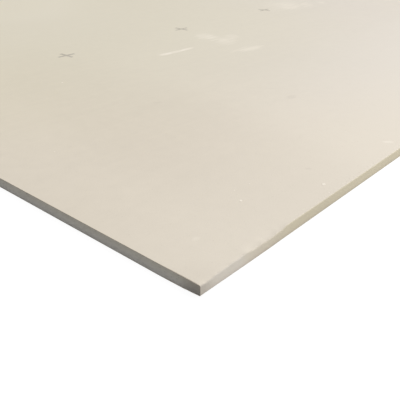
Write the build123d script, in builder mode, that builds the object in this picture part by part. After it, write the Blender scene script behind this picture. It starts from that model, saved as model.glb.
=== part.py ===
from build123d import *
import os

# Drywall sheet: one piece of gypsum wallboard lying face up. Millimetres, +Z up out of the face.
# X runs along the paper-bound long edges and Y across the sheet.
# The origin is at the middle of the back, on the plane that the sheet rests on.

# The sheet as it is sold
sheet_length = 2400.0
sheet_width = 1200.0
sheet_thickness = 9.5

# Face paper folded round the square long edges: a soft fold at the face and a tighter one at the back
face_arris_radius = 1.2
back_arris_radius = 0.6

# Back liner: laid over the folded face paper, it stops short of each long edge and stands proud
back_liner_inset = 12.0
back_liner_step = 0.2

# Places on the section, measured from the middle of the sheet
edge_y = sheet_width / 2
liner_y = edge_y - back_liner_inset

with BuildPart() as drywall_sheet:
    # The section across the sheet, the same from one cut end to the other
    with BuildSketch(Plane.YZ) as section:
        with BuildLine() as outline:
            right_half = [
                (liner_y, 0),
                (liner_y, back_liner_step),
                (edge_y, back_liner_step),
                (edge_y, sheet_thickness),
            ]
            left_half = [(-y, z) for y, z in reversed(right_half)]
            Polyline(*right_half, *left_half, close=True)
        make_face()

        # The folded paper rounds both arrises of each long edge
        for side in (0, -1):
            face_arris = section.vertices().group_by(Axis.X)[side].sort_by(Axis.Y)[-1]
            fillet(face_arris, radius=face_arris_radius)
            back_arris = section.vertices().group_by(Axis.X)[side].sort_by(Axis.Y)[0]
            fillet(back_arris, radius=back_arris_radius)

    # The square-cut ends
    extrude(amount=sheet_length / 2, both=True)

drywall_sheet.part.label = "drywall_sheet"

os.makedirs("parts", exist_ok=True)
export_step(drywall_sheet.part, "parts/drywall_sheet.step")
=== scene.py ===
import math
import random
from typing import NamedTuple

import bpy
from bpy.props import FloatProperty, FloatVectorProperty, IntProperty, PointerProperty
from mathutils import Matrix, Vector, noise


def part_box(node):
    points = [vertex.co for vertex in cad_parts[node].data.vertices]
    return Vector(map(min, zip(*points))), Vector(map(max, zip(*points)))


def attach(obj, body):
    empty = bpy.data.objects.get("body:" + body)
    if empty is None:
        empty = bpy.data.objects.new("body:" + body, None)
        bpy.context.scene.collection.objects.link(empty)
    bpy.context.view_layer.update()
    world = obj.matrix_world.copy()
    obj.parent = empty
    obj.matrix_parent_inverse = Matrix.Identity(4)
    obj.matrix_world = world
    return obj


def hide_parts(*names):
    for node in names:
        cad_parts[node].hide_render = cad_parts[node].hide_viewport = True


bl_info = {
    "name": "Drywall sheet",
    "version": (1, 0, 0),
    "blender": (4, 5, 0),
    "location": "3D View > Sidebar > Drywall",
    "description": "Dresses one sheet of wallboard with its paper, core, liner and wear",
    "category": "Object",
}

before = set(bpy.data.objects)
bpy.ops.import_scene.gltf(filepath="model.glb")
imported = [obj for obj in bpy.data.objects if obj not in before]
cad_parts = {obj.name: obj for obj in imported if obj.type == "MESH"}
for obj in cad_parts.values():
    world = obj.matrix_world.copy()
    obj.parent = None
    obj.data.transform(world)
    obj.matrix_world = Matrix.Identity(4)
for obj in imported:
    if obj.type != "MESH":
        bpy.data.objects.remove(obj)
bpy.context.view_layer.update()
sheet_low, sheet_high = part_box("drywall_sheet")


# Settings that a user would change

def length_setting(name, description, default):
    return FloatProperty(name=name, description=description, default=default, precision=5, unit="LENGTH")


def colour_setting(name, description, default):
    return FloatVectorProperty(
        name=name, description=description, default=default, min=0.0, max=1.0, subtype="COLOR")


def place_setting(name, description, default):
    return FloatVectorProperty(
        name=name, description=description, default=default, precision=4, subtype="TRANSLATION")


def power_setting(name, description, default):
    return FloatProperty(name=name, description=description, default=default, min=0.0, unit="POWER")


def angle_setting(name, description, degrees):
    default = math.radians(degrees)
    return FloatProperty(name=name, description=description, default=default, unit="ROTATION")


class BoardSizes(bpy.types.PropertyGroup):
    """Sizes of the board's section, the same as in the solid model"""
    length: length_setting("Length", "Along the paper-bound edges", sheet_high.x - sheet_low.x)
    width: length_setting("Width", "Across the sheet", sheet_high.y - sheet_low.y)
    thickness: length_setting("Thickness", "From back to face", sheet_high.z - sheet_low.z)
    face_arris: length_setting("Face arris", "Radius of the fold between face and edge", 0.0012)
    back_arris: length_setting("Back arris", "Radius of the fold between edge and back", 0.0006)
    paper: length_setting("Paper", "Thickness of the face paper", 0.00035)
    lap: length_setting("Lap", "How far the folded paper reaches under the liner", 0.030)
    liner: length_setting("Liner", "Thickness of the back liner", 0.0002)
    liner_inset: length_setting("Liner inset", "From a long edge to the liner's edge", 0.012)
    core_recess: length_setting("Core recess", "How far the cut core lies behind the paper", 0.00025)


class EdgeWear(bpy.types.PropertyGroup):
    """How handling has changed the edges"""
    arris_wave: length_setting("Arris wave", "How far the folded arris wanders", 0.00020)
    wave_pitch: length_setting("Wave pitch", "Distance between the arris's waves", 0.017)
    lean: length_setting("Lean", "How far the top of a long edge has worn back", 0.0005)
    corner_lift: length_setting("Corner lift", "How far the knocked corner is pressed up", 0.00078)
    corner_along: length_setting("Corner along", "Reach of the knock along the long edge", 0.054)
    corner_across: length_setting("Corner across", "Reach of the knock along the cut end", 0.032)
    corner_bulge: length_setting("Corner bulge", "How far the corner bulges past the long edge", 0.00065)
    corner_curl: length_setting("Corner curl", "How far the very tip of the corner curls up", 0.00080)
    crumbs: IntProperty(name="Crumbs", description="Loose gypsum crumbs on the face", default=90, min=0)
    fray: IntProperty(name="Fray", description="Torn paper tufts on each cut end", default=420, min=0)
    seed: IntProperty(name="Seed", description="Starts every random choice", default=11, min=0)


class MarkSizes(bpy.types.PropertyGroup):
    """The row of plain printed marks on the face"""
    count: IntProperty(name="Count", description="Marks along the row", default=10, min=1)
    first: length_setting("First", "From the near cut end to the first mark", 0.0405)
    pitch: length_setting("Pitch", "From one mark to the next", 0.250)
    row: length_setting("Row", "From the sheet's middle to the row", -0.0764)
    arm: length_setting("Arm", "From a mark's middle to its tip", 0.0145)
    stroke: length_setting("Stroke", "Width of a printed line", 0.0050)


class Finishes(bpy.types.PropertyGroup):
    """Colours of the board's materials"""
    face: colour_setting("Face paper", "Ivory face paper", (0.733, 0.664, 0.560))
    # Pale paper is painted light: the face turns towards it in broad patches
    pale: colour_setting("Pale paper", "Face paper where it has faded", (0.793, 0.728, 0.632))
    grey: colour_setting("Grey paper", "Face paper where it has greyed", (0.62, 0.61, 0.63))
    yellow: colour_setting("Yellow paper", "Face paper where it has yellowed", (0.76, 0.72, 0.48))
    edge: colour_setting("Edge paper", "Face paper yellowed along the edges", (0.716, 0.646, 0.490))
    # The ply's tone also serves as painted shade on the face and its long edge
    ply: colour_setting("Paper ply", "Inner ply where the paper is cut", (0.43, 0.37, 0.31))
    core: colour_setting("Gypsum core", "Cut core under the face paper", (0.446, 0.422, 0.362))
    # Painted light: the cut core turns towards this lighter colour near the back
    core_low_painted_light: colour_setting("Lower core", "Cut core near the back", (0.512, 0.493, 0.461))
    liner: colour_setting("Back liner", "Grey-brown paper on the back", (0.40, 0.36, 0.30))
    ink: colour_setting("Mark ink", "Faint grey print", (0.50, 0.458, 0.388))
    chalk: colour_setting("Chalk", "Gypsum dust, crumbs and rubbed paper", (0.875, 0.810, 0.710))


class StageLook(bpy.types.PropertyGroup):
    """Floor, light and camera"""
    floor: colour_setting("Floor", "Light that the floor throws back", (0.85, 0.85, 0.85))
    sky: FloatProperty(name="Sky", description="Even light from all round", default=0.46, min=0.0)
    aim: place_setting("Aim", "Where both lamps point", (-0.86, -0.33, 0.0))
    key_place: place_setting("Key place", "Middle of the lamp over the near edge", (-0.483, -1.346, 1.6))
    key_size: length_setting("Key size", "Side of that square lamp", 0.9)
    key_power: power_setting("Key power", "Strength of that lamp", 10.4)
    fill_place: place_setting("Fill place", "Middle of the lamp behind the sheet", (2.3, -0.6, 3.97))
    fill_size: length_setting("Fill size", "Side of that square lamp", 1.2)
    fill_power: power_setting("Fill power", "Strength of that lamp", 109.0)
    eye: place_setting("Eye", "Where the camera stands", (-1.412328, -0.788631, 0.222855))
    pitch: angle_setting("Pitch", "Camera's tilt down", 28.3547)
    heading: angle_setting("Heading", "Camera's turn from +X", 41.5815)
    lens: FloatProperty(
        name="Lens", description="Focal length on a 36 mm frame", default=51.2375, unit="CAMERA")


class DrywallSettings(bpy.types.PropertyGroup):
    """Everything that the operators read"""
    sizes: PointerProperty(type=BoardSizes)
    wear: PointerProperty(type=EdgeWear)
    marks: PointerProperty(type=MarkSizes)
    finishes: PointerProperty(type=Finishes)
    stage: PointerProperty(type=StageLook)


# Node trees written as Python

WHITE = (1.0, 1.0, 1.0, 1.0)

# Noise goes from 0 to 1, so it reaches this far on both sides of its middle
NOISE_MIDDLE = 0.5


class Grain(NamedTuple):
    """A noise on a surface: waves to the metre along, across and up, octaves, and how much it shows"""
    along: float
    across: float
    up: float
    octaves: float
    weight: float = 1.0


class Fade(NamedTuple):
    """A soft rise of a value: nothing at start and its whole strength at full"""
    start: float
    full: float
    strength: float = 1.0


def tone(colour, level=1.0):
    """A colour with alpha, made lighter or darker"""
    return (*(min(channel * level, 1.0) for channel in colour), 1.0)


def operator_pair(operation):
    """Two methods that add one kind of Math node: an operator and its reflected form"""
    def forward(self, other):
        return self.maths(operation, self, other)

    def reflected(self, other):
        return self.maths(operation, other, self)

    return forward, reflected


class Socket:
    """An output socket, so that maths on it reads as Python"""

    def __init__(self, graph, socket):
        self.graph = graph
        self.socket = socket

    def maths(self, operation, *values):
        return self.graph.node("ShaderNodeMath", {"operation": operation}, dict(enumerate(values)))

    __add__, __radd__ = operator_pair("ADD")
    __sub__, __rsub__ = operator_pair("SUBTRACT")
    __mul__, __rmul__ = operator_pair("MULTIPLY")
    __truediv__, __rtruediv__ = operator_pair("DIVIDE")
    __pow__, __rpow__ = operator_pair("POWER")
    __mod__, __rmod__ = operator_pair("MODULO")

    def __abs__(self):
        return self.maths("ABSOLUTE", self)

    def floor(self):
        return self.maths("FLOOR", self)

    def sign(self):
        return self.maths("SIGN", self)

    def rise(self, start, full):
        """0 before start, 1 after full and a soft step between them; start may be the larger"""
        return self.graph.node(
            "ShaderNodeMapRange", {"interpolation_type": "SMOOTHSTEP"},
            {"Value": self, "From Min": start, "From Max": full}, "Result")

    def fade(self, fade):
        return self.rise(fade.start, fade.full) * fade.strength

    def beside(self, name):
        """Another output of the same node"""
        return Socket(self.graph, self.socket.node.outputs[name])


class Graph:
    """A node tree to which nodes are added by one method"""

    def __init__(self, tree):
        self.tree = tree

    def node(self, kind, settings=None, sockets=None, output=0):
        """Adds a node, sets it, fills its sockets with values or links, and gives one output"""
        made = self.tree.nodes.new(kind)
        for name, value in (settings or {}).items():
            setattr(made, name, value)
        for name, value in (sockets or {}).items():
            if isinstance(value, Socket):
                self.tree.links.new(value.socket, made.inputs[name])
            else:
                made.inputs[name].default_value = value
        return Socket(self, made.outputs[output]) if made.outputs else None

    def split(self, vector):
        first = self.node("ShaderNodeSeparateXYZ", None, {"Vector": vector}, "X")
        return first, first.beside("Y"), first.beside("Z")

    def join(self, x, y, z):
        return self.node("ShaderNodeCombineXYZ", None, {"X": x, "Y": y, "Z": z})

    def place(self):
        """Where a point lies in its object"""
        return self.node("ShaderNodeTexCoord", output="Object")

    def noise(self, vector, octaves):
        """Smooth noise about 0, mostly within -0.5 and 0.5"""
        sockets = {"Vector": vector, "Scale": 1.0, "Detail": octaves}
        return self.node("ShaderNodeTexNoise", None, sockets, "Fac") - NOISE_MIDDLE

    def grain(self, place, grain):
        """The noise of a surface, without its weight"""
        waves = (grain.along, grain.across, grain.up)
        stretched = self.node("ShaderNodeVectorMath", {"operation": "MULTIPLY"}, {0: place, 1: waves})
        return self.noise(stretched, grain.octaves)

    def blend(self, factor, start, full):
        """A colour between two others; Mix holds its colours at inputs 6 and 7 and output 2"""
        return self.node(
            "ShaderNodeMix", {"data_type": "RGBA", "clamp_factor": True},
            {"Factor": factor, 6: start, 7: full}, 2)

    def mottle(self, change, colour, surface):
        """A colour that a noise about 0 moves between the darkest and the lightest tone of a surface"""
        return self.blend(change + NOISE_MIDDLE, tone(colour, surface.dark), tone(colour, surface.light))


# Materials

SPECULAR_LEVEL = 0.10


class Surface(NamedTuple):
    """A matte surface: roughness, how far its grain changes that, the grain's depth in metres, and tones"""
    roughness: float
    change: float
    relief: float
    dark: float = 1.0
    light: float = 1.0


def new_material(name):
    material = bpy.data.materials.new(name)
    material.use_nodes = True
    material.node_tree.nodes.clear()
    return material, Graph(material.node_tree)


def close_material(graph, surface, colour, grain, height):
    """Ends a material with its colour, and with the grain and height that shape its sheen and relief"""
    normal = graph.node(
        "ShaderNodeBump", None, {"Strength": 1.0, "Distance": surface.relief, "Height": height}, "Normal")
    shader = graph.node("ShaderNodeBsdfPrincipled", None, {
        "Base Color": colour, "Roughness": grain * surface.change + surface.roughness, "Normal": normal,
        "Specular IOR Level": SPECULAR_LEVEL})
    graph.node("ShaderNodeOutputMaterial", None, {"Surface": shader})


def from_corner(graph, place, sizes):
    """How far a point is from the near cut end, the near long edge and the floor"""
    x, y, z = graph.split(place)
    return x + sizes.length / 2, y + sizes.width / 2, z


class Spot(NamedTuple):
    """A place on the face: millimetres from the near corner, half sizes, turn in degrees and strength"""
    along: float
    across: float
    half_length: float
    half_width: float
    turn: float
    strength: float


def spot_mask(along, across, spots, grain=0.0):
    """One mask for several spots, broken up by a grain about 0"""
    total = 0.0
    for spot in spots:
        turn = math.radians(spot.turn)
        from_x = along - spot.along / 1000
        from_y = across - spot.across / 1000
        u = (from_x * math.cos(turn) + from_y * math.sin(turn)) * (1000 / spot.half_length)
        v = (from_y * math.cos(turn) - from_x * math.sin(turn)) * (1000 / spot.half_width)
        total = (u * u + v * v + grain).rise(1.0, 0.0) * spot.strength + total
    return total


# Face paper: its own grain
FACE = Surface(0.78, 0.12, 0.0001, 0.965, 1.035)
CLOUDS = Grain(75, 75, 75, 4, 0.9)
CLOUD_RELIEF = 1.5
HANDLING = Grain(7, 7, 7, 3, 0.6)
PAPER_LINES = Grain(3, 160, 160, 3, 0.55)
PAPER_FIBRES = Grain(700, 1500, 1500, 3, 0.4)
FLECKS = Grain(500, 1100, 1100, 1)
FLECK_FADE = Fade(0.20, 0.27, 0.16)
FLECK_TONE = 0.9

# Face paper: broad painted light (pale), painted shade (ply), and grey and yellow tints, each towards a
# finish
PAINTED_LIGHT_AND_TINTS = {
    "pale": (
        Spot(400, -210, 1010, 490, 20, 0.9),
        Spot(490, 1300, 900, 470, 65, 1.0),
        Spot(480, 940, 220, 140, 65, 0.4),
    ),
    "ply": (
        Spot(185, 230, 440, 120, 80, 0.078),
        Spot(0, 0, 32, 32, 0, 0.07),
    ),
    "grey": (
        Spot(745, 400, 775, 615, -40, 0.25),
    ),
    "yellow": (
        Spot(375, 765, 665, 745, 90, 0.25),
    ),
}

# Face paper: scrapes and scuffs rubbed pale, and dark smudges
SCRAPES = (
    Spot(394, 419, 16, 7, -7, 0.72),
    Spot(415, 417, 22, 7, -5, 0.55),
    Spot(439, 416, 19, 6, -1, 0.68),
    Spot(504, 345, 27, 8, -13, 0.17),
    Spot(524, 412, 18, 12, 42, 0.17),
    Spot(948, 483, 16, 10, 42, 0.25),
    Spot(39, 38, 4, 3, 0, 0.28),
    Spot(294, 16, 6.5, 3.5, -48, 0.70),
)
SCUFFS = (
    Spot(525, 454, 28, 20, 42, 0.33),
    Spot(526, 436, 22, 14, 42, 0.25),
    Spot(521, 408, 28, 24, 42, 0.23),
    Spot(554, 418, 20, 13, 42, 0.22),
    Spot(503, 346, 37, 15, -13, 0.27),
    Spot(866, 514, 52, 28, 42, 0.24),
    Spot(903, 492, 46, 16, 42, 0.20),
    Spot(872, 528, 96, 50, 20, 0.13),
)
SMUDGES = (
    Spot(0, 14, 0.75, 20, 0, 0.85),
    Spot(349, 163, 12, 6, 0, 0.09),
    Spot(190, 41, 4, 3, -48, 0.10),
    Spot(228, 268, 7, 4, -48, 0.07),
    Spot(358, 202, 9, 5, -48, 0.06),
)
STREAKS = Grain(35, 190, 35, 4)
SCRAPE_BREAKUP = 0.8
SCUFF_BREAKUP = 2.6
SMUDGE_BREAKUP = 1.5
SCUFF_DEPTH = 0.002
SCUFF_ROUGHNESS = 0.83
SMUDGE_TONE = 0.8

# Face paper: tints and darkening of the long edge, and painted shade; distances from the near corner or
# floor
NOSE_TURN = 0.5
YELLOWING = Fade(0.05, 0.11, 0.75)
LEAST_YELLOW = 0.25
CORNER_GREY = Fade(0.052, 0.040, 0.20)
CORNER_GREY_TONE = 1.25
# Darker towards the near corner along the long edge, and painted shade on the edge 80-205 mm along
NOSE_CORNER_DARKENING = Fade(0.018, 0.0, 0.40)
EDGE_SHADE_BEGINS = Fade(0.080, 0.115)
EDGE_SHADE_ENDS = Fade(0.205, 0.150, 0.07)
NOSE_DARKENING_TONE = 0.7
# Painted shade: the long edge darker towards the floor and at its foot
FLOOR_SHADE_PAINTED = Fade(0.0055, 0.0, 0.20)
FOOT_SHADE_PAINTED = Fade(0.0022, 0.0010, 0.18)
# Painted shade: a soft darker strip on the face by the knocked arris, 48-98 mm from the corner
ARRIS_SHADE_BORDER = Fade(0.006, 0.0)
ARRIS_SHADE_BEGINS = Fade(0.048, 0.060)
ARRIS_SHADE_ENDS = Fade(0.098, 0.086, 0.10)


def face_paper_material(settings):
    """Ivory face paper: soft clouds, faint lines along the sheet, fibre flecks, scuffs, an edge darker at
    the near corner, and painted light and shade
    """
    sizes, colours = settings.sizes, settings.finishes
    material, graph = new_material("face_paper")
    place = graph.place()
    along, across, z = from_corner(graph, place, sizes)

    clouds = graph.grain(place, CLOUDS)
    handling = graph.grain(place, HANDLING)
    lines = graph.grain(place, PAPER_LINES)
    fibres = graph.grain(place, PAPER_FIBRES)
    shade = clouds * CLOUDS.weight + handling * HANDLING.weight
    shade = shade + lines * PAPER_LINES.weight + fibres * PAPER_FIBRES.weight
    colour = graph.mottle(shade, colours.face, FACE)
    # Pale patches are painted light and ply patches painted shade; grey and yellow patches are tints
    for finish, spots in PAINTED_LIGHT_AND_TINTS.items():
        colour = graph.blend(spot_mask(along, across, spots), colour, tone(getattr(colours, finish)))
    flecks = graph.grain(place, FLECKS).fade(FLECK_FADE)
    colour = graph.blend(flecks, colour, tone(colours.ply, FLECK_TONE))

    streaks = graph.grain(place, STREAKS)
    scuffs = spot_mask(along, across, SCUFFS, streaks * SCUFF_BREAKUP)
    scuffs = scuffs + spot_mask(along, across, SCRAPES, streaks * SCRAPE_BREAKUP)
    smudges = spot_mask(along, across, SMUDGES, clouds * SMUDGE_BREAKUP)
    on_face = z.rise(sizes.thickness - SCUFF_DEPTH, sizes.thickness - SCUFF_DEPTH / 2)
    colour = graph.blend(scuffs * on_face, colour, tone(colours.chalk))
    colour = graph.blend(smudges * on_face, colour, tone(colours.ply, SMUDGE_TONE))

    turned = graph.node("ShaderNodeAttribute", {"attribute_name": "turned"}, None, "Fac")
    nose = turned.rise(0.0, NOSE_TURN)
    colour = graph.blend(nose * (along.fade(YELLOWING) + LEAST_YELLOW), colour, tone(colours.edge))
    colour = graph.blend(nose * along.fade(CORNER_GREY), colour, tone(colours.grey, CORNER_GREY_TONE))
    # The long edge darker towards the near corner, and painted shade on it 80-205 mm from the corner
    nose_darkening = along.fade(NOSE_CORNER_DARKENING) + along.fade(EDGE_SHADE_BEGINS) * along.fade(EDGE_SHADE_ENDS)
    colour = graph.blend(nose * nose_darkening, colour, tone(colours.ply, NOSE_DARKENING_TONE))
    # Painted shade: the long edge darker towards the floor
    painted_foot_shade = nose * (z.fade(FLOOR_SHADE_PAINTED) + z.fade(FOOT_SHADE_PAINTED))
    # Painted shade: a soft darker strip on the face by the knocked arris, 48-98 mm along
    rubbed = across.fade(ARRIS_SHADE_BORDER) * along.fade(ARRIS_SHADE_BEGINS) * along.fade(ARRIS_SHADE_ENDS)
    colour = graph.blend(painted_foot_shade + rubbed, colour, tone(colours.ply))

    grain = fibres + scuffs * SCUFF_ROUGHNESS
    close_material(graph, FACE, colour, grain, fibres + clouds * CLOUD_RELIEF)
    return material


PLY = Surface(0.85, 0.1, 0.0001, 0.85, 1.15)
PLY_FIBRES = Grain(400, 160, 900, 3)


def paper_ply_material(settings):
    """Brown-grey inner ply, seen where the face paper is cut or torn"""
    material, graph = new_material("paper_ply")
    fibres = graph.grain(graph.place(), PLY_FIBRES)
    colour = graph.mottle(fibres, settings.finishes.ply, PLY)
    close_material(graph, PLY, colour, fibres, fibres)
    return material


class Pore(NamedTuple):
    """A size of bubble in the core: cells to the metre, and its radius as a share of a cell"""
    cells: float
    radius: float


CORE = Surface(0.88, 0.1, 0.0003, 0.93, 1.07)
CORE_PATCHES = Grain(60, 60, 60, 3, 0.7)
KNIFE_LINES = Grain(60, 900, 60, 2, 0.4)
KNIFE_RELIEF = 0.5
PORES = (Pore(1500, 0.24), Pore(800, 0.22), Pore(400, 0.15))
PORE_FLOOR = 0.6
PORE_PATCHING = 0.3
PORE_STRENGTH = 0.4
PORE_TONE = 0.45
# Darker towards the knocked corner, and there also towards the back
CORNER_DARKENING_REACH = 0.024
CORNER_DARKENING_WANDER = 0.01
CORNER_DARKENING_STRENGTH = 0.6
CORNER_DARKENING_TONE = 0.5
FOOT_DARKENING_STRENGTH = 0.38
FOOT_DARKENING_TONE = 0.2


def gypsum_core_material(settings):
    """Cut gypsum: pale grey, fine bubbles, knife lines, painted light near the back, darker at the knocked
    corner
    """
    sizes, colours = settings.sizes, settings.finishes
    material, graph = new_material("gypsum_core")
    place = graph.place()
    along, across, z = from_corner(graph, place, sizes)

    patches = graph.grain(place, CORE_PATCHES)
    knife = graph.grain(place, KNIFE_LINES)
    shade = patches * CORE_PATCHES.weight + knife * KNIFE_LINES.weight
    # Painted light: the cut core turns lighter towards the back, where the floor shades it
    depth = z.rise(sizes.thickness, 0.0)
    upper = graph.mottle(shade, colours.core, CORE)
    painted_light_lower = graph.mottle(shade, colours.core_low_painted_light, CORE)
    colour = graph.blend(depth, upper, painted_light_lower)

    pores = 0.0
    for pore in PORES:
        bubbles = graph.node(
            "ShaderNodeTexVoronoi", {"feature": "F1"}, {"Vector": place, "Scale": pore.cells}, "Distance")
        pores = (bubbles - patches * PORE_PATCHING).rise(pore.radius, pore.radius * PORE_FLOOR) + pores
    colour = graph.blend(pores * PORE_STRENGTH, colour, tone(colours.core, PORE_TONE))

    # The cut core darker towards the knocked corner, and there also towards the back
    to_corner = (along * along + across * across) ** 0.5
    core_corner_darkening = (to_corner + patches * CORNER_DARKENING_WANDER).rise(CORNER_DARKENING_REACH, 0.0)
    colour = graph.blend(core_corner_darkening * CORNER_DARKENING_STRENGTH, colour, tone(colours.ply, CORNER_DARKENING_TONE))
    core_foot_darkening = core_corner_darkening * core_corner_darkening * depth * FOOT_DARKENING_STRENGTH
    colour = graph.blend(core_foot_darkening, colour, tone(colours.grey, FOOT_DARKENING_TONE))

    close_material(graph, CORE, colour, patches, knife * KNIFE_RELIEF - pores)
    return material


LINER = Surface(0.84, 0.12, 0.00012, 0.85, 1.15)
LINER_CLOUDS = Grain(45, 45, 45, 4, 0.8)
LINER_LINES = Grain(4, 120, 120, 3, 0.7)
LINER_STAINS = Grain(3, 3, 3, 3, 0.6)
LINER_FIBRES = Grain(350, 900, 900, 2)
DARK_FIBRES = Fade(0.12, 0.22, 0.5)
DARK_FIBRE_TONE = 0.55
PALE_FIBRES = Fade(-0.14, -0.24, 0.4)
PALE_FIBRE_TONE = 0.95


def back_liner_material(settings):
    """Grey-brown liner: recycled fibres, darker flecks and lines along the sheet"""
    colours = settings.finishes
    material, graph = new_material("back_liner")
    place = graph.place()
    clouds = graph.grain(place, LINER_CLOUDS)
    lines = graph.grain(place, LINER_LINES)
    stains = graph.grain(place, LINER_STAINS)
    fibres = graph.grain(place, LINER_FIBRES)
    shade = clouds * LINER_CLOUDS.weight + lines * LINER_LINES.weight + stains * LINER_STAINS.weight
    colour = graph.mottle(shade, colours.liner, LINER)
    colour = graph.blend(fibres.fade(DARK_FIBRES), colour, tone(colours.ply, DARK_FIBRE_TONE))
    colour = graph.blend(fibres.fade(PALE_FIBRES), colour, tone(colours.face, PALE_FIBRE_TONE))
    close_material(graph, LINER, colour, fibres, fibres + clouds)
    return material


INK = Surface(0.75, 0.1, 0.00004)
INK_GRAIN = Grain(420, 420, 420, 3, 1.2)
INK_COVER = Grain(90, 90, 90, 2, 1.4)
INK_GAPS = Fade(0.05, 0.5, 0.8)
INK_GAP_TONE = 0.98


def mark_ink_material(settings):
    """Thin grey ink that lets the paper's grain through"""
    colours = settings.finishes
    material, graph = new_material("mark_ink")
    place = graph.place()
    grain = graph.grain(place, INK_GRAIN)
    cover = graph.grain(place, INK_COVER)
    gaps = (grain * INK_GRAIN.weight + cover * INK_COVER.weight).fade(INK_GAPS)
    colour = graph.blend(gaps, tone(colours.ink), tone(colours.face, INK_GAP_TONE))
    close_material(graph, INK, colour, grain, grain)
    return material


CHALK = Surface(0.9, 0.1, 0.0001, 0.9, 1.08)
CHALK_GRAIN = Grain(1200, 1200, 1200, 3)


def gypsum_chalk_material(settings):
    """Loose gypsum, whiter than the cut core"""
    material, graph = new_material("gypsum_chalk")
    grain = graph.grain(graph.place(), CHALK_GRAIN)
    colour = graph.mottle(grain, settings.finishes.chalk, CHALK)
    close_material(graph, CHALK, colour, grain, grain)
    return material


# Lines across the sheet

# How finely the paper's line is divided: the flat face, its border, each fold, the edge and the lap
FLAT_STEPS = 8
BORDER_STOPS = (0.040, 0.025, 0.016, 0.011, 0.008, 0.006, 0.0046, 0.0035, 0.0026, 0.0020)
FOLD_STEPS = 7
NOSE_STEPS = 6
LAP_STEPS = 4


class Section:
    """The board's section: heights and folds at a distance across the sheet"""

    def __init__(self, sizes):
        self.sizes = sizes
        self.edge = sizes.width / 2
        self.fold_y = self.edge - sizes.face_arris
        self.fold_z = sizes.thickness - sizes.face_arris
        self.back_fold_y = self.edge - sizes.back_arris
        self.back_fold_z = sizes.liner + sizes.back_arris

    def top(self, y, inset):
        """Upper edge of the section, set in by a thickness and rounded at the fold"""
        radius = self.sizes.face_arris - inset
        out = max(abs(y) - self.fold_y, 0.0)
        return self.fold_z + math.sqrt(max(radius ** 2 - out ** 2, 0.0))

    def bottom(self, y, inset):
        """Lower edge of the section above the liner, set in by a thickness and rounded at the fold"""
        radius = self.sizes.back_arris - inset
        out = max(abs(y) - self.back_fold_y, 0.0)
        return self.back_fold_z - math.sqrt(max(radius ** 2 - out ** 2, 0.0))

    def paper_line(self):
        """Half of the folded paper's line, from the middle of the face to the end of its lap"""
        sizes = self.sizes
        flat = [self.edge * step / FLAT_STEPS for step in range(FLAT_STEPS)]
        border = [self.edge - reach for reach in BORDER_STOPS]
        line = [(y, sizes.thickness) for y in flat + border]
        for step in range(FOLD_STEPS + 1):
            turn = math.pi / 2 * (1 - step / FOLD_STEPS)
            line.append((self.fold_y + sizes.face_arris * math.cos(turn),
                         self.fold_z + sizes.face_arris * math.sin(turn)))
        for step in range(1, NOSE_STEPS):
            share = step / NOSE_STEPS
            line.append((self.edge, self.fold_z + (self.back_fold_z - self.fold_z) * share))
        for step in range(FOLD_STEPS + 1):
            turn = -math.pi / 2 * step / FOLD_STEPS
            line.append((self.back_fold_y + sizes.back_arris * math.cos(turn),
                         self.back_fold_z + sizes.back_arris * math.sin(turn)))
        lap_end = self.edge - sizes.lap
        for step in range(1, LAP_STEPS + 1):
            share = step / LAP_STEPS
            line.append((self.back_fold_y + (lap_end - self.back_fold_y) * share, sizes.liner))
        return line

    def turned(self, y, z):
        """0 on the face, 1 once the paper has folded down to the edge"""
        if abs(y) <= self.fold_y:
            return 0.0 if z > self.fold_z else 1.0
        rise = (z - self.fold_z) / self.sizes.face_arris
        return 1 - max(rise, 0.0)


def line_mesh(name, points, give, turned):
    """A line of vertices across the sheet, with how far each gives way and has turned from the face"""
    mesh = bpy.data.meshes.new(name)
    mesh.from_pydata([(0.0, y, z) for y, z in points], [], [])
    for label, values in {"give": give, "turned": turned}.items():
        mesh.attributes.new(label, "FLOAT", "POINT").data.foreach_set("value", values)
    return mesh


# Geometry Nodes trees

def new_tree(name, inputs):
    """An empty tree that takes and gives a mesh, with a material and inputs given as kind and default"""
    tree = bpy.data.node_groups.new(name, "GeometryNodeTree")
    tree.is_modifier = True
    tree.interface.new_socket("Geometry", in_out="INPUT", socket_type="NodeSocketGeometry")
    tree.interface.new_socket("Geometry", in_out="OUTPUT", socket_type="NodeSocketGeometry")
    for label, (kind, default) in inputs.items():
        socket = tree.interface.new_socket(label, in_out="INPUT", socket_type="NodeSocket" + kind)
        socket.default_value = default
    tree.interface.new_socket("Material", in_out="INPUT", socket_type="NodeSocketMaterial")
    graph = Graph(tree)
    return tree, graph, graph.node("NodeGroupInput", output="Geometry")


def close_tree(graph, given, geometry):
    """Ends a tree with plain faces of one material"""
    plain = graph.node("GeometryNodeRealizeInstances", None, {"Geometry": geometry})
    painted = graph.node(
        "GeometryNodeSetMaterial", None, {"Geometry": plain, "Material": given.beside("Material")})
    graph.node("NodeGroupOutput", None, {"Geometry": painted})


def random_number(graph, limits, seed):
    """A number for each point; Random Value holds its limits at inputs 2 and 3 and output 1"""
    low, high = limits
    return graph.node(
        "FunctionNodeRandomValue", {"data_type": "FLOAT"}, {2: low, 3: high, "Seed": seed}, 1)


def named_number(graph, name):
    """A number that each point carries under a name"""
    return graph.node("GeometryNodeInputNamedAttribute", {"data_type": "FLOAT"}, {"Name": name})


def join_geometry(graph, first, second):
    """Two geometries in one; Join Geometry takes both links on one socket"""
    joined = graph.node("GeometryNodeJoinGeometry", None, {"Geometry": second})
    graph.tree.links.new(first.socket, joined.socket.node.inputs["Geometry"])
    return joined


# The arris's waves: octaves, the calm stretch at each cut end, and a shift that sets the edges apart
WAVE_OCTAVES = 3
CALM_END = 0.02
EDGES_APART = 7.0


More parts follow.
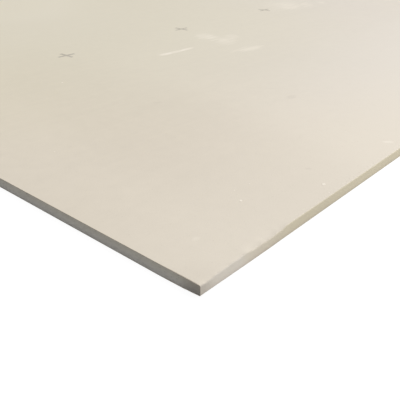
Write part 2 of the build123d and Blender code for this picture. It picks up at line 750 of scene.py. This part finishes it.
def sweep_tree():
    """Carries a line across the sheet from the near cut end to the far one, with a wandering arris"""
    tree, graph, given = new_tree("sheet_sweep", {
        "Length": ("Float", 1.0), "Stations": ("Int", 200), "Crowding": ("Float", 1.0),
        "Wave": ("Float", 0.0), "Wave pitch": ("Float", 0.02), "Seed": ("Int", 0)})
    length = given.beside("Length")
    stations = given.beside("Stations")
    points = graph.node("GeometryNodeAttributeDomainSize", None, {"Geometry": given}, "Point Count")
    grid = graph.node("GeometryNodeMeshGrid", None, {"Vertices X": stations, "Vertices Y": points}, "Mesh")
    index = graph.node("GeometryNodeInputIndex")
    across = index % points
    along = (index / points).floor() / (stations - 1.0)

    position = graph.node("GeometryNodeInputPosition")
    spot = graph.node(
        "GeometryNodeSampleIndex", {"data_type": "FLOAT_VECTOR"},
        {"Geometry": given, "Value": position, "Index": across})
    give, turned = (
        graph.node(
            "GeometryNodeSampleIndex", {"data_type": "FLOAT"},
            {"Geometry": given, "Value": named_number(graph, name), "Index": across})
        for name in ("give", "turned"))

    _, y, z = graph.split(spot)
    x = (along ** given.beside("Crowding") - 0.5) * length
    calm_ends = (length / 2 - abs(x)).rise(0.0, CALM_END)
    wave_place = graph.join(x / given.beside("Wave pitch"), y.sign() * EDGES_APART, given.beside("Seed"))
    wander = graph.noise(wave_place, WAVE_OCTAVES) / NOISE_MIDDLE
    inward = wander * calm_ends * give * given.beside("Wave")
    moved = graph.join(x, y - y.sign() * inward, z - inward)
    placed = graph.node("GeometryNodeSetPosition", None, {"Geometry": grid, "Position": moved})
    kept = graph.node(
        "GeometryNodeStoreNamedAttribute", {"data_type": "FLOAT", "domain": "POINT"},
        {"Geometry": placed, "Name": "turned", "Value": turned})
    smooth = graph.node("GeometryNodeSetShadeSmooth", None, {"Geometry": kept, "Shade Smooth": True})
    close_tree(graph, given, smooth)
    return tree


def row_tree():
    """Repeats one mark along a row"""
    tree, graph, given = new_tree("mark_row", {
        "Count": ("Int", 8), "Start": ("Vector", (0, 0, 0)), "Pitch": ("Float", 0.3)})
    offset = graph.join(given.beside("Pitch"), 0.0, 0.0)
    row = graph.node("GeometryNodeMeshLine", {"mode": "OFFSET"}, {
        "Count": given.beside("Count"), "Start Location": given.beside("Start"), "Offset": offset})
    marks = graph.node("GeometryNodeInstanceOnPoints", None, {"Points": row, "Instance": given})
    close_tree(graph, given, marks)
    return tree


# Limits of a crumb's width and length as shares of its size, and the scale of its dents
CRUMB_WIDTHS = (0.7, 1.4)
CRUMB_LENGTHS = (0.8, 1.8)
DENT_SCALE = 2.5


def crumb_tree():
    """Puts an uneven flat crumb on every point, sized by the point"""
    tree, graph, given = new_tree("gypsum_crumbs", {"Flatness": ("Float", 0.5), "Seed": ("Int", 0)})
    seed = given.beside("Seed")
    ball = graph.node("GeometryNodeMeshIcoSphere", None, {"Radius": 0.5, "Subdivisions": 2}, "Mesh")
    position = graph.node("GeometryNodeInputPosition")
    dents = graph.node("ShaderNodeTexNoise", None, {"Vector": position, "Scale": DENT_SCALE}, "Color")
    middle = (NOISE_MIDDLE, NOISE_MIDDLE, NOISE_MIDDLE)
    shift = graph.node("ShaderNodeVectorMath", {"operation": "SUBTRACT"}, {0: dents, 1: middle})
    lump = graph.node("GeometryNodeSetPosition", None, {"Geometry": ball, "Offset": shift})
    size = named_number(graph, "size")
    wide = size * random_number(graph, CRUMB_WIDTHS, seed)
    long = size * random_number(graph, CRUMB_LENGTHS, seed + 1.0)
    high = size * given.beside("Flatness")
    turn = graph.join(0.0, 0.0, random_number(graph, (0.0, math.tau), seed + 2.0))
    turned = graph.node("FunctionNodeEulerToRotation", None, {"Euler": turn})
    crumbs = graph.node("GeometryNodeInstanceOnPoints", None, {
        "Points": given, "Instance": lump, "Rotation": turned, "Scale": graph.join(wide, long, high)})
    close_tree(graph, given, crumbs)
    return tree


# Limits of a tuft's slide in metres, its lean in radians, and its sizes as shares of the tuft
SLIDES_ACROSS = (-0.0015, 0.0015)
SLIDES_DOWN = (-0.0002, 0.0)
LEANS_ASIDE = (-0.5, 0.5)
LEANS_OUT = (0.9, 2.0)
TWISTS = (-0.9, 0.9)
TUFT_REACHES = (0.25, 1.0)
TUFT_WIDTHS = (0.3, 1.3)
TUFT_THINNESS = 0.25
END_SEEDS_APART = 10.0


def fray_tree():
    """Sets torn tufts of paper along the cut edge of the face at both ends"""
    tree, graph, given = new_tree("cut_fray", {
        "Length": ("Float", 1.0), "Width": ("Float", 1.0), "Height": ("Float", 0.01),
        "Count": ("Int", 100), "Tuft": ("Float", 0.001), "Seed": ("Int", 0)})
    tuft = given.beside("Tuft")
    rows = None
    for end in (-1.0, 1.0):
        seed = given.beside("Seed") + END_SEEDS_APART * end
        x = given.beside("Length") * (end / 2)
        line = graph.node("GeometryNodeMeshLine", {"mode": "END_POINTS"}, {
            "Count": given.beside("Count"),
            "Start Location": graph.join(x, given.beside("Width") * -0.5, given.beside("Height")),
            "Offset": graph.join(x, given.beside("Width") * 0.5, given.beside("Height"))})
        slide = graph.join(
            0.0, random_number(graph, SLIDES_ACROSS, seed), random_number(graph, SLIDES_DOWN, seed + 1.0))
        points = graph.node("GeometryNodeSetPosition", None, {"Geometry": line, "Offset": slide})
        lean = graph.join(
            random_number(graph, LEANS_ASIDE, seed + 2.0),
            random_number(graph, LEANS_OUT, seed + 3.0) * end,
            random_number(graph, TWISTS, seed + 4.0))
        turned = graph.node("FunctionNodeEulerToRotation", None, {"Euler": lean})
        reach = tuft * random_number(graph, TUFT_REACHES, seed + 5.0)
        wide = tuft * random_number(graph, TUFT_WIDTHS, seed + 6.0)
        tufts = graph.node("GeometryNodeInstanceOnPoints", None, {
            "Points": points, "Instance": given, "Rotation": turned,
            "Scale": graph.join(tuft * TUFT_THINNESS, wide, reach)})
        rows = tufts if rows is None else join_geometry(graph, rows, tufts)
    close_tree(graph, given, rows)
    return tree


# Meshes and pieces

SHARP_ANGLE = math.radians(40)


def new_worker(mesh):
    """An object in the scene that lends a mesh its modifiers"""
    worker = bpy.data.objects.new("worker", mesh)
    bpy.context.scene.collection.objects.link(worker)
    return worker


def settle(worker):
    """The plain mesh that an object's modifiers give; the object is removed"""
    graph = bpy.context.evaluated_depsgraph_get()
    mesh = bpy.data.meshes.new_from_object(worker.evaluated_get(graph), depsgraph=graph)
    bpy.data.objects.remove(worker)
    return mesh


def run_tree(mesh, tree, values):
    """The plain mesh that a Geometry Nodes tree makes of a mesh"""
    worker = new_worker(mesh)
    modifier = worker.modifiers.new("nodes", "NODES")
    modifier.node_group = tree
    for item in tree.interface.items_tree:
        if item.in_out == "INPUT" and item.name in values:
            modifier[item.identifier] = values[item.name]
    return settle(worker)


def ring_walls(count):
    """Quads between the first ring of points and the second, which follows it"""
    return [(i, (i + 1) % count, count + (i + 1) % count, count + i) for i in range(count)]


def thicken(mesh, thickness, inner_material):
    """A closed shell: the mesh, an inner side and a rim, which have the second material"""
    mesh.materials.append(inner_material)
    worker = new_worker(mesh)
    shell = worker.modifiers.new("thickness", "SOLIDIFY")
    shell.thickness = thickness
    shell.offset = -1.0
    shell.material_offset = 1
    shell.material_offset_rim = 1
    return settle(worker)


def add_piece(name, mesh):
    """Puts a finished mesh in the scene on the sheet's body"""
    mesh.name = name
    mesh.set_sharp_from_angle(angle=SHARP_ANGLE)
    piece = bpy.data.objects.new(name, mesh)
    bpy.context.scene.collection.objects.link(piece)
    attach(piece, "root")
    return piece


# Wear on the meshes

# The knocked corner: the bulge's reach, the share of the thickness that is pressed, and how each fades
BULGE_ALONG = 0.010
BULGE_ACROSS = 0.006
PRESSED_SHARE = 0.75
LIFT_POWER = 1.3
BULGE_POWER = 2
CURL_POWER = 6


def press_corner(mesh, settings):
    """Presses the near corner's underside up and its edge out, as when a sheet is set down on it"""
    sizes, wear = settings.sizes, settings.wear
    for vertex in mesh.vertices:
        from_end = vertex.co.x + sizes.length / 2
        from_edge = vertex.co.y + sizes.width / 2
        along = from_end / wear.corner_along
        across = from_edge / wear.corner_across
        depth = 1 - min(vertex.co.z / (sizes.thickness * PRESSED_SHARE), 1)
        if along < 1 and across < 1:
            vertex.co.z += wear.corner_lift * (1 - along) ** LIFT_POWER * (1 - across) * depth
        if from_end < BULGE_ALONG and from_edge < BULGE_ACROSS:
            bulge = (1 - from_end / BULGE_ALONG) ** BULGE_POWER
            nearness = 1 - from_edge / BULGE_ACROSS
            vertex.co.y -= wear.corner_bulge * bulge * nearness
            vertex.co.z += wear.corner_curl * bulge * nearness ** CURL_POWER * depth


class Knock(NamedTuple):
    """A pressed stretch of the near arris: its place along the edge, half length, ramp, depth and reach"""
    along: float
    half_length: float
    ramp: float
    depth: float
    reach: float


KNOCKS = (
    Knock(0.0092, 0.0080, 0.005, 0.00100, 0.0024),
    Knock(0.0225, 0.0105, 0.005, 0.00062, 0.0026),
    Knock(0.0395, 0.0090, 0.006, 0.00042, 0.0022),
    Knock(0.0610, 0.0140, 0.012, 0.00155, 0.0050),
    Knock(0.0760, 0.0130, 0.008, 0.00185, 0.0058),
    Knock(0.0880, 0.0095, 0.007, 0.00135, 0.0044),
)
KNOCK_BORDER = 0.016
LEAN_BORDER = 0.006
LEAN_START = 0.008
LEAN_RAMP = 0.010


def soft_step(value):
    """0 up to 0 and 1 from 1, with a soft rise between them"""
    value = min(max(value, 0.0), 1.0)
    return value * value * (3 - 2 * value)


def lean_edges(mesh, settings):
    """Leans both long edges back, by nothing at the floor or the cut ends and the full lean at the face"""
    sizes, wear = settings.sizes, settings.wear
    for vertex in mesh.vertices:
        near = 1 - (sizes.width / 2 - abs(vertex.co.y)) / LEAN_BORDER
        if near > 0:
            to_end = sizes.length / 2 - abs(vertex.co.x)
            lean = wear.lean * soft_step((to_end - LEAN_START) / LEAN_RAMP)
            vertex.co.y -= math.copysign(lean * near * vertex.co.z / sizes.thickness, vertex.co.y)


def knock_arris(mesh, settings):
    """Presses the near long edge's arris down where it has been knocked"""
    sizes = settings.sizes
    fold = Vector((-sizes.width / 2, sizes.thickness))
    for vertex in mesh.vertices:
        if vertex.co.y > fold.x + KNOCK_BORDER:
            continue
        along = vertex.co.x + sizes.length / 2
        away = (vertex.co.yz - fold).length
        drops = [
            knock.depth * soft_step((knock.half_length - abs(along - knock.along)) / knock.ramp)
            * math.exp(-(away / knock.reach) ** 2) for knock in KNOCKS]
        vertex.co.z -= max(drops)


def wear_edges(mesh, settings):
    """All the wear on the edges of a mesh, the corner last"""
    lean_edges(mesh, settings)
    knock_arris(mesh, settings)
    press_corner(mesh, settings)


# Operators

FOLD_GIVE = 0.0017
PAPER_STATIONS = 420
STATION_CROWDING = 1.6


class DRYWALL_OT_face_paper(bpy.types.Operator):
    """Wraps the ivory face paper over the face and round both long edges"""
    bl_idname = "drywall.face_paper"
    bl_label = "Face paper"

    def execute(self, context):
        settings = context.scene.drywall
        sizes, wear = settings.sizes, settings.wear
        section = Section(sizes)
        half = section.paper_line()
        line = [(-y, z) for y, z in reversed(half[1:])] + half
        fold = Vector((section.edge, sizes.thickness))
        give = [math.exp(-((Vector((abs(y), z)) - fold).length / FOLD_GIVE) ** 2) for y, z in line]
        turned = [section.turned(y, z) for y, z in line]
        mesh = run_tree(line_mesh("paper_line", line, give, turned), sweep_tree(), {
            "Length": sizes.length, "Stations": PAPER_STATIONS, "Crowding": STATION_CROWDING,
            "Wave": wear.arris_wave, "Wave pitch": wear.wave_pitch, "Seed": wear.seed,
            "Material": face_paper_material(settings)})
        wear_edges(mesh, settings)
        mesh = thicken(mesh, sizes.paper, paper_ply_material(settings))
        piece = add_piece("face_paper", mesh)
        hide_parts("drywall_sheet")
        return {"FINISHED"}


class CutRelief(NamedTuple):
    """A noise on the cut core: waves to the metre across and up, and its depth in metres"""
    across: float
    up: float
    depth: float


# The core's mesh: its steps across and rows, and the collar behind each cut, past which it is thinner
CORE_STEP = 0.002
CORE_ROWS = 11
CORE_COLLAR = 0.0012
CORE_WAIST = 0.002

# The core's cut: waves with their fall, step and octaves, knife lines, and chips that begin at a height
CUT_WAVES = CutRelief(90, 260, 0.00010)
CUT_FRACTAL = (1.0, 2.0, 3)
CUT_LINES = CutRelief(500, 30, 0.00005)
CUT_CHIPS = CutRelief(160, 260, 0.0016)
CHIP_START = 0.45
CHIPS_APART = 5


class DRYWALL_OT_gypsum_core(bpy.types.Operator):
    """Fills the paper with the gypsum core, rough where it is cut"""
    bl_idname = "drywall.gypsum_core"
    bl_label = "Gypsum core"

    def execute(self, context):
        settings = context.scene.drywall
        sizes = settings.sizes
        section = Section(sizes)
        columns = self.columns(section)
        end = sizes.length / 2
        half = [(0.0, True, 0.0), (CORE_COLLAR, False, 0.0), (2 * CORE_COLLAR, False, CORE_WAIST)]
        stations = [(-end + inset, cut, waist) for inset, cut, waist in half]
        stations += [(end - inset, cut, waist) for inset, cut, waist in reversed(half)]
        rings = []
        points = []
        for x, cut, waist in stations:
            rings.append(len(points))
            shrink = 1 - waist / section.edge
            for y in columns:
                low = section.bottom(y, sizes.paper * self.lapped(y, section)) + waist
                high = section.top(y, sizes.paper) - waist
                for row in range(CORE_ROWS + 1):
                    z = low + (high - low) * row / CORE_ROWS
                    back = self.relief(x, y, z) + sizes.core_recess if cut else 0.0
                    points.append((x - math.copysign(back, x), y * shrink, z))
        mesh = bpy.data.meshes.new("gypsum_core")
        mesh.from_pydata(points, [], self.faces(rings, len(columns)))
        mesh.materials.append(gypsum_core_material(settings))
        wear_edges(mesh, settings)
        mesh.shade_smooth()
        add_piece("gypsum_core", mesh)
        return {"FINISHED"}

    def columns(self, section):
        """Places across the sheet, closer together where the folds round the corners"""
        reach = section.edge - section.sizes.paper
        round_stretch = section.sizes.back_arris
        turns = [math.sin(math.pi / 2 * step / FOLD_STEPS) for step in range(FOLD_STEPS + 1)]
        folded = [reach - round_stretch + round_stretch * turn for turn in turns]
        steps = round((reach - round_stretch) / CORE_STEP)
        half = [(reach - round_stretch) * step / steps for step in range(steps)] + folded
        return [-y for y in reversed(half[1:])] + half

    def lapped(self, y, section):
        """1 where the folded paper lies under the core and 0 where only the liner does"""
        reach = abs(y) - (section.edge - section.sizes.lap)
        return min(max(reach / CORE_STEP, 0.0), 1.0)

    def relief(self, x, y, z):
        """How far the cut goes in at a point: soft waves, knife lines and small chips"""
        wave_place = Vector((y * CUT_WAVES.across, z * CUT_WAVES.up, x))
        line_place = Vector((y * CUT_LINES.across, z * CUT_LINES.up, x))
        chip_place = Vector((y * CUT_CHIPS.across, z * CUT_CHIPS.up, x + CHIPS_APART))
        waves = noise.fractal(wave_place, *CUT_FRACTAL) * CUT_WAVES.depth
        lines = noise.noise(line_place) * CUT_LINES.depth
        chips = max(0.0, noise.noise(chip_place) - CHIP_START) * CUT_CHIPS.depth
        return waves + lines + chips

    def faces(self, rings, columns):
        """Quads over both cut ends and along the long sides between the rings"""
        rows = CORE_ROWS + 1
        quads = []
        for column in range(columns - 1):
            for row in range(CORE_ROWS):
                near = rings[0] + column * rows + row
                far = rings[-1] + column * rows + row
                quads.append((near, near + 1, near + rows + 1, near + rows))
                quads.append((far, far + rows, far + rows + 1, far + 1))
        border = [column * rows for column in range(columns)]
        border += [(columns - 1) * rows + row for row in range(1, rows)]
        border += [column * rows + CORE_ROWS for column in range(columns - 2, -1, -1)]
        border += [row for row in range(CORE_ROWS - 1, 0, -1)]
        for ring, following in zip(rings, rings[1:]):
            for here, after in zip(border, border[1:] + border[:1]):
                quads.append((ring + here, ring + after, following + after, following + here))
        return quads


LINER_STEPS = 20
LINER_STATIONS = 160


class DRYWALL_OT_back_liner(bpy.types.Operator):
    """Lays the grey-brown liner over the back and the folded laps"""
    bl_idname = "drywall.back_liner"
    bl_label = "Back liner"

    def execute(self, context):
        settings = context.scene.drywall
        sizes = settings.sizes
        reach = sizes.width / 2 - sizes.liner_inset
        half = [reach * (1 - (1 - step / LINER_STEPS) ** 2) for step in range(LINER_STEPS + 1)]
        line = [(y, 0.0) for y in reversed(half)] + [(-y, 0.0) for y in half[1:]]
        still = [0.0] * len(line)
        material = back_liner_material(settings)
        mesh = run_tree(line_mesh("liner_line", line, still, still), sweep_tree(), {
            "Length": sizes.length, "Stations": LINER_STATIONS, "Crowding": STATION_CROWDING,
            "Material": material})
        mesh = thicken(mesh, sizes.liner, material)
        press_corner(mesh, settings)
        add_piece("back_liner", mesh)
        return {"FINISHED"}


INK_DEPTH = 0.00003


class DRYWALL_OT_fixing_marks(bpy.types.Operator):
    """Prints a row of plain plus marks on the face"""
    bl_idname = "drywall.fixing_marks"
    bl_label = "Fixing marks"

    def execute(self, context):
        settings = context.scene.drywall
        sizes, marks = settings.sizes, settings.marks
        start = Vector((marks.first - sizes.length / 2, marks.row, sizes.thickness))
        mesh = run_tree(self.plus(marks.arm, marks.stroke / 2), row_tree(), {
            "Count": marks.count, "Start": start, "Pitch": marks.pitch,
            "Material": mark_ink_material(settings)})
        add_piece("fixing_marks", mesh)
        return {"FINISHED"}

    def plus(self, arm, half):
        """A thin plus sign, half sunk in the paper"""
        quarter = [(half, half), (half, arm), (-half, arm)]
        outline = []
        for turn in range(4):
            for x, y in quarter:
                for _ in range(turn):
                    x, y = -y, x
                outline.append((x, y))
        count = len(outline)
        points = [(x, y, -INK_DEPTH) for x, y in outline] + [(x, y, INK_DEPTH) for x, y in outline]
        faces = [tuple(range(count, 2 * count)), tuple(reversed(range(count)))]
        faces += ring_walls(count)
        mesh = bpy.data.meshes.new("plus")
        mesh.from_pydata(points, [], faces)
        return mesh


class Speck(NamedTuple):
    """A crumb: metres from the near corner and width"""
    along: float
    across: float
    size: float


SPECKS = (
    Speck(0.104, 0.049, 0.0021),
    Speck(0.114, 0.064, 0.0014),
    Speck(0.132, 0.062, 0.0010),
    Speck(0.172, 0.015, 0.0026),
    Speck(0.162, 0.004, 0.0014),
    Speck(0.197, 0.004, 0.0010),
    Speck(0.203, 0.415, 0.0024),
)
CRUMB_MARGIN = 0.01
CRUMB_SIZES = (0.0004, 0.0013)
CRUMB_FLATNESS = 0.2
LEAST_CHANCE = 0.05
EDGE_REACH = 0.06


class DRYWALL_OT_crumbs(bpy.types.Operator):
    """Strews loose gypsum crumbs over the face, most of them near the edges"""
    bl_idname = "drywall.crumbs"
    bl_label = "Gypsum crumbs"

    def execute(self, context):
        settings = context.scene.drywall
        sizes, wear = settings.sizes, settings.wear
        draw = random.Random(wear.seed)
        places = list(SPECKS)
        while len(places) < len(SPECKS) + wear.crumbs:
            along = draw.uniform(CRUMB_MARGIN, sizes.length - CRUMB_MARGIN)
            across = draw.uniform(CRUMB_MARGIN, sizes.width - CRUMB_MARGIN)
            to_edge = min(along, across, sizes.length - along, sizes.width - across)
            if draw.random() < LEAST_CHANCE + math.exp(-to_edge / EDGE_REACH):
                places.append(Speck(along, across, draw.uniform(*CRUMB_SIZES)))
        end, edge = sizes.length / 2, sizes.width / 2
        points = [(speck.along - end, speck.across - edge, sizes.thickness) for speck in places]
        mesh = bpy.data.meshes.new("crumb_places")
        mesh.from_pydata(points, [], [])
        size = mesh.attributes.new("size", "FLOAT", "POINT")
        size.data.foreach_set("value", [speck.size for speck in places])
        mesh = run_tree(mesh, crumb_tree(), {
            "Flatness": CRUMB_FLATNESS, "Seed": wear.seed, "Material": gypsum_chalk_material(settings)})
        add_piece("gypsum_crumbs", mesh)
        return {"FINISHED"}


# The fray: its distance from the long edges and a tuft's size, and then the tuft's shape at size 1
FRAY_INSET = 0.012
TUFT_SIZE = 0.0009
TUFT_WAIST_SIDE = 0.1
TUFT_WAIST_WIDTHS = (0.7, 0.6)
TUFT_WAIST_HEIGHT = 0.55
TUFT_TIP = (0.2, 0.1, 1.0)


class DRYWALL_OT_cut_fray(bpy.types.Operator):
    """Roughens the face paper's cut edge at both ends with small torn tufts"""
    bl_idname = "drywall.cut_fray"
    bl_label = "Cut fray"

    def execute(self, context):
        settings = context.scene.drywall
        sizes, wear = settings.sizes, settings.wear
        mesh = run_tree(self.tuft(), fray_tree(), {
            "Length": sizes.length, "Width": sizes.width - 2 * FRAY_INSET, "Height": sizes.thickness,
            "Count": wear.fray, "Tuft": TUFT_SIZE, "Seed": wear.seed,
            "Material": paper_ply_material(settings)})
        add_piece("cut_fray", mesh)
        return {"FINISHED"}

    def tuft(self):
        """A flat torn point that stands on its root"""
        root = [(-0.5, -0.5), (0.5, -0.5), (0.5, 0.5), (-0.5, 0.5)]
        wide, deep = TUFT_WAIST_WIDTHS
        points = [(x, y, 0.0) for x, y in root]
        points += [(x * wide + TUFT_WAIST_SIDE, y * deep, TUFT_WAIST_HEIGHT) for x, y in root]
        points.append(TUFT_TIP)
        faces = [(3, 2, 1, 0)]
        faces += ring_walls(len(root))
        faces += [(4 + i, 4 + (i + 1) % 4, 8) for i in range(4)]
        mesh = bpy.data.meshes.new("tuft")
        mesh.from_pydata(points, [], faces)
        return mesh


# The floor's place and look, and the camera's frame
FLOOR_REACH = 20.0
FLOOR_DROP = -0.0001
SHADOW_COLOUR = (0.9, 0.9, 0.9, 1.0)
GLOW_STRENGTH = 1.12
GLOW_SHARE = 0.82
SENSOR_WIDTH = 36.0
CLIP_START = 0.01


class DRYWALL_OT_stage(bpy.types.Operator):
    """Sets the pale floor, the soft light and the camera"""
    bl_idname = "drywall.stage"
    bl_label = "Stage"

    def execute(self, context):
        scene = context.scene
        look = scene.drywall.stage
        scene.view_settings.view_transform = "Standard"
        self.floor(scene, look)
        self.sky(scene, look)
        self.lamp(scene, "key_lamp", look.key_place, look.aim, look.key_size, look.key_power)
        self.lamp(scene, "fill_lamp", look.fill_place, look.aim, look.fill_size, look.fill_power)
        self.camera(scene, look)
        return {"FINISHED"}

    def seen(self, graph):
        """1 for rays that show the backdrop: from the camera, a gloss or a clear surface"""
        camera = graph.node("ShaderNodeLightPath", output="Is Camera Ray")
        seen = camera.maths("MAXIMUM", camera, camera.beside("Is Glossy Ray"))
        return seen.maths("MAXIMUM", seen, camera.beside("Is Transmission Ray"))

    def floor(self, scene, look):
        """A wide floor that looks white, keeps the sheet's shadow and throws back plain light"""
        mesh = bpy.data.meshes.new("floor")
        corners = [(-1, -1), (1, -1), (1, 1), (-1, 1)]
        points = [(x * FLOOR_REACH, y * FLOOR_REACH, FLOOR_DROP) for x, y in corners]
        mesh.from_pydata(points, [], [(0, 1, 2, 3)])
        material, graph = new_material("floor")
        thrown = graph.node("ShaderNodeBsdfDiffuse", None, {"Color": tone(look.floor)})
        shadowed = graph.node("ShaderNodeBsdfDiffuse", None, {"Color": SHADOW_COLOUR})
        glow = graph.node("ShaderNodeEmission", None, {"Color": WHITE, "Strength": GLOW_STRENGTH})
        backdrop = graph.node("ShaderNodeMixShader", None, {0: GLOW_SHARE, 1: shadowed, 2: glow})
        surface = graph.node("ShaderNodeMixShader", None, {0: self.seen(graph), 1: thrown, 2: backdrop})
        graph.node("ShaderNodeOutputMaterial", None, {"Surface": surface})
        mesh.materials.append(material)
        floor = bpy.data.objects.new("floor", mesh)
        scene.collection.objects.link(floor)

    def sky(self, scene, look):
        """Even light from all round, seen as white"""
        world = bpy.data.worlds.new("studio")
        world.use_nodes = True
        world.node_tree.nodes.clear()
        graph = Graph(world.node_tree)
        light = graph.node("ShaderNodeBackground", None, {"Color": WHITE, "Strength": look.sky})
        white = graph.node("ShaderNodeBackground", None, {"Color": WHITE, "Strength": 1.0})
        surface = graph.node("ShaderNodeMixShader", None, {0: self.seen(graph), 1: light, 2: white})
        graph.node("ShaderNodeOutputWorld", None, {"Surface": surface})
        scene.world = world

    def lamp(self, scene, name, place, aim, size, power):
        light = bpy.data.lights.new(name, "AREA")
        light.size = size
        light.energy = power
        lamp = bpy.data.objects.new(name, light)
        lamp.location = place
        lamp.rotation_euler = (Vector(aim) - Vector(place)).to_track_quat("-Z", "Y").to_euler()
        scene.collection.objects.link(lamp)

    def camera(self, scene, look):
        lens = bpy.data.cameras.new("camera")
        lens.sensor_fit = "HORIZONTAL"
        lens.sensor_width = SENSOR_WIDTH
        lens.lens = look.lens
        lens.clip_start = CLIP_START
        camera = bpy.data.objects.new("camera", lens)
        camera.location = look.eye
        camera.rotation_euler = (math.pi / 2 - look.pitch, 0.0, look.heading - math.pi / 2)
        scene.collection.objects.link(camera)
        scene.camera = camera


# Panel and registration

PIECES = (
    DRYWALL_OT_stage,
    DRYWALL_OT_face_paper,
    DRYWALL_OT_gypsum_core,
    DRYWALL_OT_back_liner,
    DRYWALL_OT_fixing_marks,
    DRYWALL_OT_crumbs,
    DRYWALL_OT_cut_fray,
)


class DRYWALL_PT_sheet(bpy.types.Panel):
    """Lists the sheet's pieces and settings"""
    bl_idname = "DRYWALL_PT_sheet"
    bl_label = "Drywall sheet"
    bl_space_type = "VIEW_3D"
    bl_region_type = "UI"
    bl_category = "Drywall"

    def draw(self, context):
        settings = context.scene.drywall
        for piece in PIECES:
            self.layout.operator(piece.bl_idname)
        for group in (settings.sizes, settings.wear, settings.marks, settings.finishes, settings.stage):
            column = self.layout.column(align=True)
            for name in group.bl_rna.properties.keys():
                if name not in {"rna_type", "name"}:
                    column.prop(group, name)


GROUPS = (BoardSizes, EdgeWear, MarkSizes, Finishes, StageLook, DrywallSettings)


def register():
    for made in (*GROUPS, *PIECES, DRYWALL_PT_sheet):
        bpy.utils.register_class(made)
    bpy.types.Scene.drywall = PointerProperty(type=DrywallSettings)


def unregister():
    del bpy.types.Scene.drywall
    for made in reversed((*GROUPS, *PIECES, DRYWALL_PT_sheet)):
        bpy.utils.unregister_class(made)


def main():
    register()
    bpy.ops.drywall.stage()
    bpy.ops.drywall.face_paper()
    bpy.ops.drywall.gypsum_core()
    bpy.ops.drywall.back_liner()
    bpy.ops.drywall.fixing_marks()
    bpy.ops.drywall.crumbs()
    bpy.ops.drywall.cut_fray()


if __name__ == "__main__":
    main()
